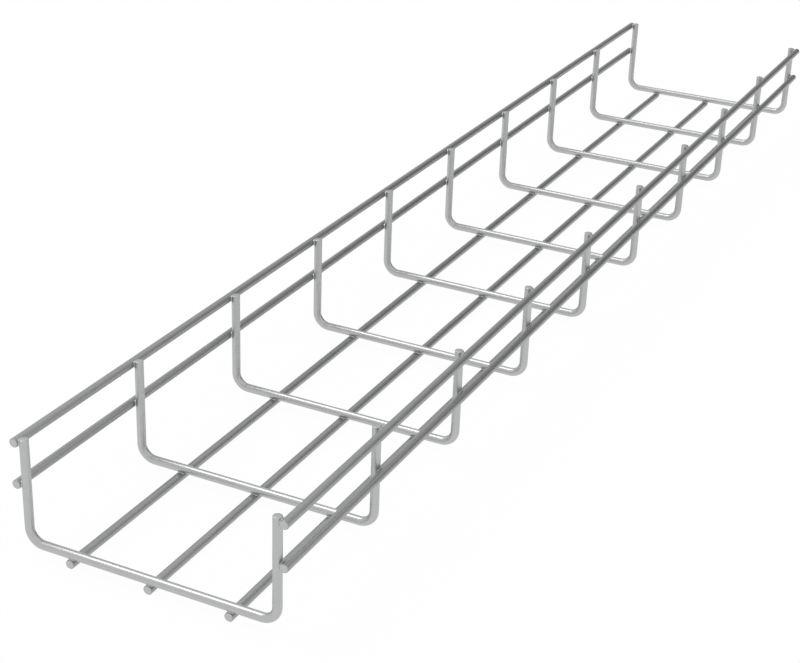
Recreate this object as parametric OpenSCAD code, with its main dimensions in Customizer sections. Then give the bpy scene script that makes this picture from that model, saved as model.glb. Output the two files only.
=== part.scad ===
// Welded wire mesh basket that carries cables under a ceiling or along a wall.
// Bent cross wires stand in a row, and straight long wires are welded to their outsides.
// The basket lies along Y, its open top faces +Z, and the origin is under its middle, where it rests.

/* [Wire] */
// Diameter of the straight wires that run along the basket
long_wire_d = 5; // [3.5:0.5:6]
// Diameter of the bent wires that run across the basket
cross_wire_d = 5; // [3.5:0.5:6]
// Bevel that the shears leave round every cut end
cut_bevel = 0.3; // [0.1:0.1:0.8]

/* [Cross wires] */
// Number of cross wires
cross_wire_count = 10; // [2:1:30]
// Distance from one cross wire to the next, centre to centre
cross_wire_pitch = 100; // [50:5:200]
// Clear width between the two legs of a cross wire
inside_w = 140; // [115:5:300]
// Clear depth from the tips of the legs down to the floor
inside_h = 56.8; // [45:0.1:110]
// Inside radius of the bend between the floor and a leg
bend_inside_r = 6; // [3:0.5:10]

/* [Long wires] */
// Number of long wires under the floor
floor_wire_count = 3; // [1:1:3]
// Distance between neighbouring floor wires, centre to centre
floor_wire_pitch = 46.75; // [30:0.25:60]
// Number of long wires on each side
side_wire_count = 2; // [1:1:2]
// Distance from the top wire of a side down to the next one, centre to centre
side_wire_pitch = 23.75; // [12:0.25:38]
// Height of the legs' tips over the top of the top wires
tip_stand = 0; // [0:0.5:5]
// Length of the long wires past the outside of the first and the last cross wire
end_stub = 0; // [0:1:45]

/* [Welds] */
// Depth to which the weld presses a cross wire onto a long wire
weld_sink = 0.3; // [0.1:0.1:0.8]
// Radius of the bead that the weld squeezes out between the two wires
weld_bead_r = 2.1; // [1.5:0.1:2.4]

/* [Hidden] */
$fn = 48;

SIDES = [-1, 1];
SIDE_NAMES = ["left", "right"];
LEVEL_NAMES = ["top_wire", "side_wire"];

long_r = long_wire_d / 2;
cross_r = cross_wire_d / 2;

// Distance between the centre lines of two wires that are welded across each other
weld_offset = long_r + cross_r - weld_sink;

// The centre line of a cross wire: half its width, its floor height, its bends and its tips
leg_x = inside_w / 2 + cross_r;
floor_z = long_r + weld_offset;
bend_r = bend_inside_r + cross_r;
tip_z = floor_z + cross_r + inside_h;

// The centre lines of the long wires on a side
side_x = leg_x + weld_offset;
top_wire_z = tip_z - tip_stand - long_r;

// The row of cross wires, and the long wires' length over it
row_length = (cross_wire_count - 1) * cross_wire_pitch;
long_wire_length = row_length + cross_wire_d + 2 * end_stub;

function cross_name(i) = str("cross_wire_", i);
function side_name(side, level) = str(LEVEL_NAMES[level - 1], "_", SIDE_NAMES[side < 0 ? 0 : 1]);
function floor_name(i) = str("floor_wire_", i);

function cross_wire_y(i) = (i - 1) * cross_wire_pitch - row_length / 2;
function side_wire_z(level) = top_wire_z - (level - 1) * side_wire_pitch;
function floor_wire_x(i) = (i - (floor_wire_count + 1) / 2) * floor_wire_pitch;

// A straight wire up +Z from the origin to its cut tip, where the shears leave a bevel
module wire_to_tip(r, length) {
    cylinder(r = r, h = length - cut_bevel);
    translate([0, 0, length - cut_bevel])
        cylinder(r1 = r, r2 = r - cut_bevel, h = cut_bevel);
}

// One straight long wire, centred along Y
module long_wire() {
    color("gray")
        for (turn = [-90, 90])
            rotate([turn, 0, 0]) wire_to_tip(long_r, long_wire_length / 2);
}

module side_wire(side, level) {
    translate([side * side_x, 0, side_wire_z(level)]) long_wire();
}

module floor_wire(i) {
    translate([floor_wire_x(i), 0, long_r]) long_wire();
}

module all_long_wires() {
    for (side = SIDES, level = [1:side_wire_count]) side_wire(side, level);
    for (i = [1:floor_wire_count]) floor_wire(i);
}

// Half of a cross wire, on the +X side: its floor run, its bend and its leg
module half_cross_wire() {
    translate([0, 0, floor_z])
        rotate([0, 90, 0])
        cylinder(r = cross_r, h = leg_x - bend_r);
    translate([leg_x - bend_r, 0, floor_z + bend_r])
        rotate([90, 0, 0])
        rotate([0, 0, -90])
        rotate_extrude(angle = 90)
        translate([bend_r, 0])
        circle(r = cross_r);
    translate([leg_x, 0, floor_z + bend_r])
        wire_to_tip(cross_r, tip_z - floor_z - bend_r);
}

// The beads that the welds of one cross wire squeeze out, halfway between the two centre lines
module weld_beads() {
    for (side = SIDES, level = [1:side_wire_count])
        translate([side * (side_x - weld_offset / 2), 0, side_wire_z(level)])
            sphere(r = weld_bead_r);
    for (i = [1:floor_wire_count])
        translate([floor_wire_x(i), 0, long_r + weld_offset / 2])
            sphere(r = weld_bead_r);
}

// One bent cross wire with its beads, seated on the long wires that it is pressed onto
module cross_wire(i) {
    color("silver")
        difference() {
            translate([0, cross_wire_y(i), 0]) {
                half_cross_wire();
                mirror([1, 0, 0]) half_cross_wire();
                weld_beads();
            }
            all_long_wires();
        }
}

for (i = [1:cross_wire_count])
    cross_wire(i);

for (side = SIDES, level = [1:side_wire_count])
    side_wire(side, level);

for (i = [1:floor_wire_count])
    floor_wire(i);
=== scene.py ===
import math

import bpy
from mathutils import Matrix, Vector


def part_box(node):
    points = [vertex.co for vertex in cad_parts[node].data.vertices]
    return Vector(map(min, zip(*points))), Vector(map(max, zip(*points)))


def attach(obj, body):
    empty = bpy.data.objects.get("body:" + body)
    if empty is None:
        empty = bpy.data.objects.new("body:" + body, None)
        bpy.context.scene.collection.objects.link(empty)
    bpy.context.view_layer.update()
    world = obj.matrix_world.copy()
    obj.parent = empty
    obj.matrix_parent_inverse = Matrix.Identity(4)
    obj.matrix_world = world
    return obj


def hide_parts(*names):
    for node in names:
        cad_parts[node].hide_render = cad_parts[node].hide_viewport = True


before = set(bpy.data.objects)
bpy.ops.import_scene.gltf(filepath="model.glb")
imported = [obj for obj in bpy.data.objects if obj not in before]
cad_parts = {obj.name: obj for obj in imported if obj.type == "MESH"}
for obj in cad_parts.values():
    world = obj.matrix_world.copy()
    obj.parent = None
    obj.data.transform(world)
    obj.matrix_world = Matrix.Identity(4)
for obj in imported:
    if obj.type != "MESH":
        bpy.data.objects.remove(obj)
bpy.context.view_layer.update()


# The floor: a plain white sheet that the basket stands on. It shows white to the eye and in the
# wires, and a share of its painted surface stays, so that the basket keeps a faint shadow.
FLOOR_SIZE = 60.0
FLOOR_PAINT = (0.9, 0.9, 0.9, 1.0)
FLOOR_WHITE = 0.96


def show_white(tree, lit, output, share):
    """Mixes plain white over a lit shader, for rays from the camera, in gloss and through glass."""
    path = tree.nodes.new("ShaderNodeLightPath")
    weight = tree.nodes.new("ShaderNodeMath")
    weight.operation = "MULTIPLY"
    weight.inputs[1].default_value = share
    seen = path.outputs["Is Camera Ray"]
    for kind in ("Is Glossy Ray", "Is Transmission Ray"):
        either = tree.nodes.new("ShaderNodeMath")
        either.operation = "MAXIMUM"
        tree.links.new(seen, either.inputs[0])
        tree.links.new(path.outputs[kind], either.inputs[1])
        seen = either.outputs[0]
    tree.links.new(seen, weight.inputs[0])
    white = tree.nodes.new("ShaderNodeEmission")
    mix = tree.nodes.new("ShaderNodeMixShader")
    tree.links.new(weight.outputs[0], mix.inputs["Fac"])
    tree.links.new(lit.outputs[0], mix.inputs[1])
    tree.links.new(white.outputs[0], mix.inputs[2])
    tree.links.new(mix.outputs[0], output.inputs["Surface"])


bpy.ops.object.select_all(action="DESELECT")
bpy.ops.mesh.primitive_plane_add(size=FLOOR_SIZE)
floor = bpy.context.object
floor.name = "floor"
floor_sheet = bpy.data.materials.new("floor_sheet")
floor_sheet.use_nodes = True
tree = floor_sheet.node_tree
tree.nodes.clear()
paint = tree.nodes.new("ShaderNodeBsdfDiffuse")
paint.inputs["Color"].default_value = FLOOR_PAINT
show_white(tree, paint, tree.nodes.new("ShaderNodeOutputMaterial"), FLOOR_WHITE)
floor.data.materials.append(floor_sheet)


# The studio: a pale room all round, one soft box high on the left, and a card stood on the floor
# behind the basket. Only the wires see the card. It is grey to the right and fades paler to the
# left, and it gives the long wires the darker line that runs down their middle.
ROOM_STRENGTH = 1.1
ROOM_WHITE = 0.3
SOFT_BOX_PLACE = Vector((-2.3, -0.4, 4.45))
SOFT_BOX_SIZE = (1.6, 1.6)
SOFT_BOX_STRENGTH = 48.0
CARD_PLACE = (0.2, 1.6, 0.95)
CARD_SIZE = (5.6, 1.9)
CARD_GREY = 0.28
CARD_PALE = 0.72
CARD_FADE = (-0.7, 0.05)

world = bpy.data.worlds.new("studio")
bpy.context.scene.world = world
world.use_nodes = True
tree = world.node_tree
tree.nodes.clear()
room = tree.nodes.new("ShaderNodeBackground")
room.inputs["Strength"].default_value = ROOM_STRENGTH
show_white(tree, room, tree.nodes.new("ShaderNodeOutputWorld"), ROOM_WHITE)

lamp = bpy.data.lights.new("soft_box", "AREA")
lamp.shape = "RECTANGLE"
lamp.size, lamp.size_y = SOFT_BOX_SIZE
lamp.energy = SOFT_BOX_STRENGTH
soft_box = bpy.data.objects.new("soft_box", lamp)
bpy.context.scene.collection.objects.link(soft_box)
soft_box.location = SOFT_BOX_PLACE
soft_box.rotation_euler = SOFT_BOX_PLACE.to_track_quat("Z", "Y").to_euler()

bpy.ops.mesh.primitive_plane_add(size=1.0, location=CARD_PLACE, rotation=(math.radians(90), 0, 0))
card = bpy.context.object
card.name = "grey_card"
card.scale = (CARD_SIZE[0], CARD_SIZE[1], 1)
bpy.ops.object.transform_apply(location=False, rotation=True, scale=True)
card_face = bpy.data.materials.new("card_face")
card_face.use_nodes = True
tree = card_face.node_tree
tree.nodes.clear()
glow = tree.nodes.new("ShaderNodeEmission")
place = tree.nodes.new("ShaderNodeTexCoord")
across = tree.nodes.new("ShaderNodeSeparateXYZ")
fade = tree.nodes.new("ShaderNodeMapRange")
fade.inputs["From Min"].default_value = CARD_FADE[0]
fade.inputs["From Max"].default_value = CARD_FADE[1]
fade.inputs["To Min"].default_value = CARD_PALE
fade.inputs["To Max"].default_value = CARD_GREY
tree.links.new(place.outputs["Object"], across.inputs[0])
tree.links.new(across.outputs["X"], fade.inputs["Value"])
tree.links.new(fade.outputs["Result"], glow.inputs["Strength"])
tree.links.new(glow.outputs[0], tree.nodes.new("ShaderNodeOutputMaterial").inputs["Surface"])
card.data.materials.append(card_face)
card.visible_camera = False
card.visible_diffuse = False
card.visible_shadow = False


# The camera: a long lens, high on the right of the near end, turned to the left and down, so that
# the basket runs away from it to the upper right.
CAMERA_PLACE = (0.4168, -1.0428, 0.4894)
CAMERA_TURN = math.radians(25.685)
CAMERA_DIP = math.radians(25.537)
CAMERA_ROLL = math.radians(2.077)
LENS_LENGTH = 77.875
SENSOR_WIDTH = 36.0

camera_data = bpy.data.cameras.new("camera")
camera_data.sensor_width = SENSOR_WIDTH
camera_data.lens = LENS_LENGTH
camera = bpy.data.objects.new("camera", camera_data)
bpy.context.scene.collection.objects.link(camera)
camera.matrix_world = (
    Matrix.Translation(CAMERA_PLACE)
    @ Matrix.Rotation(CAMERA_TURN, 4, "Z")
    @ Matrix.Rotation(math.radians(90) - CAMERA_DIP, 4, "X")
    @ Matrix.Rotation(CAMERA_ROLL, 4, "Z")
)
bpy.context.scene.camera = camera
bpy.context.scene.view_settings.view_transform = "Standard"


# The long wires: seven straight lengths of zinc-coated steel wire, two along each side and three
# under the floor. Each is drawn smooth and sheared square at both ends, which rounds the rims.
ROUND_SIDES = 40
CUT_ROUNDING = 0.00035
CUT_ROUNDING_STEPS = 3
SMOOTH_BELOW = math.radians(40)
LONG_WIRE_NAMES = (
    "top_wire_left", "top_wire_right", "side_wire_left", "side_wire_right",
    "floor_wire_1", "floor_wire_2", "floor_wire_3",
)
# The long wires are the same wire as the cross wires but get a darker grey: the difference is painted
# shade, standing in for the darker surroundings the long wires reflect.
LONG_GREY_WITH_PAINTED_SHADE = (0.360, 0.365, 0.367)
LONG_ROUGHNESS = 0.38
CLOUD_SCALE = 160.0
CLOUD_DARK = 0.94
CLOUD_PALE = 1.06
CLOUD_ROUGHNESS = 0.05
LINE_SCALE = (2600.0, 2600.0, 30.0)
LINE_STRENGTH = 0.05
LINE_HEIGHT = 0.0001
CUT_ROUGHNESS = 0.42
CUT_MARK_SCALE = 900.0
CUT_DARK = (0.46, 0.47, 0.47, 1.0)
CUT_PALE = (0.58, 0.59, 0.59, 1.0)


def zinc(name, grey, roughness):
    """A drawn and zinc-coated wire surface: faint cloudy zinc, and fine lines along the wire."""
    material = bpy.data.materials.new(name)
    material.use_nodes = True
    tree = material.node_tree
    surface = tree.nodes["Principled BSDF"]
    surface.inputs["Metallic"].default_value = 1.0

    along = tree.nodes.new("ShaderNodeAttribute")
    along.attribute_name = "along_wire"
    clouds = tree.nodes.new("ShaderNodeTexNoise")
    clouds.inputs["Scale"].default_value = CLOUD_SCALE
    clouds.inputs["Detail"].default_value = 3.0
    tree.links.new(along.outputs["Vector"], clouds.inputs["Vector"])

    tone = tree.nodes.new("ShaderNodeMix")
    tone.data_type = "RGBA"
    tone.inputs["A"].default_value = [CLOUD_DARK * channel for channel in grey] + [1.0]
    tone.inputs["B"].default_value = [CLOUD_PALE * channel for channel in grey] + [1.0]
    tree.links.new(clouds.outputs["Fac"], tone.inputs["Factor"])
    tree.links.new(tone.outputs["Result"], surface.inputs["Base Color"])

    gloss = tree.nodes.new("ShaderNodeMapRange")
    gloss.inputs["To Min"].default_value = roughness - CLOUD_ROUGHNESS
    gloss.inputs["To Max"].default_value = roughness + CLOUD_ROUGHNESS
    tree.links.new(clouds.outputs["Fac"], gloss.inputs["Value"])
    tree.links.new(gloss.outputs["Result"], surface.inputs["Roughness"])

    stretch = tree.nodes.new("ShaderNodeMapping")
    stretch.inputs["Scale"].default_value = LINE_SCALE
    lines = tree.nodes.new("ShaderNodeTexNoise")
    lines.inputs["Scale"].default_value = 1.0
    lines.inputs["Detail"].default_value = 2.0
    tree.links.new(along.outputs["Vector"], stretch.inputs["Vector"])
    tree.links.new(stretch.outputs["Vector"], lines.inputs["Vector"])
    bump = tree.nodes.new("ShaderNodeBump")
    bump.inputs["Strength"].default_value = LINE_STRENGTH
    bump.inputs["Distance"].default_value = LINE_HEIGHT
    tree.links.new(lines.outputs["Fac"], bump.inputs["Height"])
    tree.links.new(bump.outputs["Normal"], surface.inputs["Normal"])
    return material


def cut_steel():
    """The bare face that the shears leave: paler, a little rough, with short torn marks."""
    material = bpy.data.materials.new("cut_steel")
    material.use_nodes = True
    tree = material.node_tree
    surface = tree.nodes["Principled BSDF"]
    surface.inputs["Metallic"].default_value = 1.0
    surface.inputs["Roughness"].default_value = CUT_ROUGHNESS
    place = tree.nodes.new("ShaderNodeTexCoord")
    marks = tree.nodes.new("ShaderNodeTexNoise")
    marks.inputs["Scale"].default_value = CUT_MARK_SCALE
    tree.links.new(place.outputs["Object"], marks.inputs["Vector"])
    tone = tree.nodes.new("ShaderNodeMix")
    tone.data_type = "RGBA"
    tone.inputs["A"].default_value = CUT_DARK
    tone.inputs["B"].default_value = CUT_PALE
    tree.links.new(marks.outputs["Fac"], tone.inputs["Factor"])
    tree.links.new(tone.outputs["Result"], surface.inputs["Base Color"])
    return material


CUT_STEEL = cut_steel()


def close_the_ends(wire, at_a_cut):
    """Closes an open tube with a flat face at each cut, and rounds the rims as the shears do."""
    bpy.ops.mesh.select_mode(type="EDGE")
    for side in (-1, 1):
        bpy.ops.mesh.select_all(action="DESELECT")
        bpy.ops.object.mode_set(mode="OBJECT")
        for edge in wire.data.edges:
            ends = [wire.data.vertices[i].co for i in edge.vertices]
            edge.select = all(at_a_cut(p) and side * (p.x + p.y) > 0 for p in ends)
        bpy.ops.object.mode_set(mode="EDIT")
        bpy.ops.mesh.edge_face_add()
        bpy.ops.mesh.bevel(offset=CUT_ROUNDING, segments=CUT_ROUNDING_STEPS, affect="EDGES")
    bpy.ops.mesh.select_all(action="SELECT")
    bpy.ops.mesh.normals_make_consistent(inside=False)
    bpy.ops.object.mode_set(mode="OBJECT")


def finish_the_wire(wire, coat):
    """Coats a wire with zinc, leaves its cut faces bare, and shades it round."""
    wire.data.materials.append(coat)
    wire.data.materials.append(CUT_STEEL)
    for polygon in wire.data.polygons:
        polygon.material_index = 1 if len(polygon.vertices) == ROUND_SIDES else 0
    bpy.ops.object.shade_smooth_by_angle(angle=SMOOTH_BELOW)


low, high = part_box(LONG_WIRE_NAMES[0])
long_radius = (high.x - low.x) / 2
half_length = (high.y - low.y) / 2
bpy.ops.object.select_all(action="DESELECT")
bpy.ops.mesh.primitive_circle_add(
    vertices=ROUND_SIDES,
    radius=long_radius,
    location=(0, -half_length, 0),
    rotation=(math.radians(90), 0, 0),
)
long_wire = bpy.context.object
bpy.ops.object.transform_apply()
bpy.ops.object.mode_set(mode="EDIT")
bpy.ops.mesh.select_all(action="SELECT")
bpy.ops.mesh.extrude_region_move(TRANSFORM_OT_translate={"value": (0, 2 * half_length, 0)})
close_the_ends(long_wire, lambda p: abs(p.y) > half_length - 1e-5)
# The long wires' zinc takes the darker grey, which carries painted shade.
finish_the_wire(long_wire, zinc("long_wire_zinc_painted_shade", LONG_GREY_WITH_PAINTED_SHADE, LONG_ROUGHNESS))
along = long_wire.data.attributes.new("along_wire", "FLOAT_VECTOR", "POINT")
for vertex in long_wire.data.vertices:
    along.data[vertex.index].vector = (vertex.co.x, vertex.co.z, vertex.co.y)

for name in LONG_WIRE_NAMES:
    low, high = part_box(name)
    piece = bpy.data.objects.new(name + "_zinc", long_wire.data.copy())
    bpy.context.scene.collection.objects.link(piece)
    piece.data.transform(Matrix.Translation(((low.x + high.x) / 2, 0, (low.z + high.z) / 2)))
    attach(piece, "root")
    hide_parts(name)
bpy.data.objects.remove(long_wire)


# The cross wires: ten lengths of the same wire, each bent cold to a U with tight corners, and
# pressed onto the long wires. An electric weld sinks each crossing a little into the other wire
# and squeezes a small bead out round it.
BEND_RADIUS = 0.0085
BEND_STEPS = 14
WELD_SINK = 0.0003
BEAD_RADIUS = 0.0021
BEAD_SIDES = 24
BEAD_RINGS = 12
CROSS_GREY = (0.500, 0.508, 0.512)
CROSS_ROUGHNESS = 0.37


def wire_middle(name):
    """The height and the sideways place of a straight wire's centre line."""
    low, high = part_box(name)
    return (low.x + high.x) / 2, (low.z + high.z) / 2


cross_names = [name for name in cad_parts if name.startswith("cross_wire_")]
low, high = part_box(cross_names[0])
cross_radius = (high.y - low.y) / 2
tip_z = high.z
weld_offset = long_radius + cross_radius - WELD_SINK
leg_x = wire_middle("top_wire_right")[0] - weld_offset
floor_z = wire_middle("floor_wire_2")[1] + weld_offset
bend_x = leg_x - BEND_RADIUS
bend_z = floor_z + BEND_RADIUS
quarter = math.radians(90)

bpy.ops.object.select_all(action="DESELECT")
bpy.ops.mesh.primitive_circle_add(vertices=ROUND_SIDES, radius=cross_radius, location=(-leg_x, 0, tip_z))
cross_wire = bpy.context.object
bpy.ops.object.transform_apply()
bpy.ops.object.mode_set(mode="EDIT")
bpy.ops.mesh.select_all(action="SELECT")
bpy.ops.mesh.extrude_region_move(TRANSFORM_OT_translate={"value": (0, 0, bend_z - tip_z)})
bpy.ops.mesh.spin(steps=BEND_STEPS, angle=quarter, center=(-bend_x, 0, bend_z), axis=(0, 1, 0))
bpy.ops.mesh.extrude_region_move(TRANSFORM_OT_translate={"value": (2 * bend_x, 0, 0)})
bpy.ops.mesh.spin(steps=BEND_STEPS, angle=quarter, center=(bend_x, 0, bend_z), axis=(0, 1, 0))
bpy.ops.mesh.extrude_region_move(TRANSFORM_OT_translate={"value": (0, 0, tip_z - bend_z)})
close_the_ends(cross_wire, lambda p: p.z > tip_z - 1e-5)

bpy.ops.object.select_all(action="DESELECT")
beads = []
for name in LONG_WIRE_NAMES:
    x, z = wire_middle(name)
    if name.startswith("floor"):
        place = (x, 0, z + weld_offset / 2)
    else:
        place = (math.copysign(leg_x + weld_offset / 2, x), 0, z)
    bpy.ops.mesh.primitive_uv_sphere_add(
        segments=BEAD_SIDES, ring_count=BEAD_RINGS, radius=BEAD_RADIUS, location=place
    )
    beads.append(bpy.context.object)
for bead in beads:
    bead.select_set(True)
bpy.ops.object.join()
beads = bpy.context.object
union = cross_wire.modifiers.new("weld", "BOOLEAN")
union.operation = "UNION"
union.solver = "EXACT"
union.object = beads
bpy.ops.object.select_all(action="DESELECT")
bpy.context.view_layer.objects.active = cross_wire
cross_wire.select_set(True)
bpy.ops.object.modifier_apply(modifier=union.name)
bpy.data.objects.remove(beads)

finish_the_wire(cross_wire, zinc("cross_wire_zinc", CROSS_GREY, CROSS_ROUGHNESS))
along = cross_wire.data.attributes.new("along_wire", "FLOAT_VECTOR", "POINT")
for vertex in cross_wire.data.vertices:
    place = vertex.co
    side = math.copysign(1, place.x)
    past_bend = Vector((abs(place.x) - bend_x, place.z - bend_z))
    if past_bend.x < 0:
        outward, run = floor_z - place.z, abs(place.x)
    elif past_bend.y > 0:
        outward, run = abs(place.x) - leg_x, bend_x + quarter * BEND_RADIUS + past_bend.y
    else:
        outward = past_bend.length - BEND_RADIUS
        run = bend_x + math.atan2(past_bend.x, -past_bend.y) * BEND_RADIUS
    along.data[vertex.index].vector = (outward, place.y, side * run)

for name in cross_names:
    low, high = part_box(name)
    piece = bpy.data.objects.new(name + "_zinc", cross_wire.data.copy())
    bpy.context.scene.collection.objects.link(piece)
    piece.data.transform(Matrix.Translation((0, (low.y + high.y) / 2, 0)))
    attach(piece, "root")
    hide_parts(name)
bpy.data.objects.remove(cross_wire)
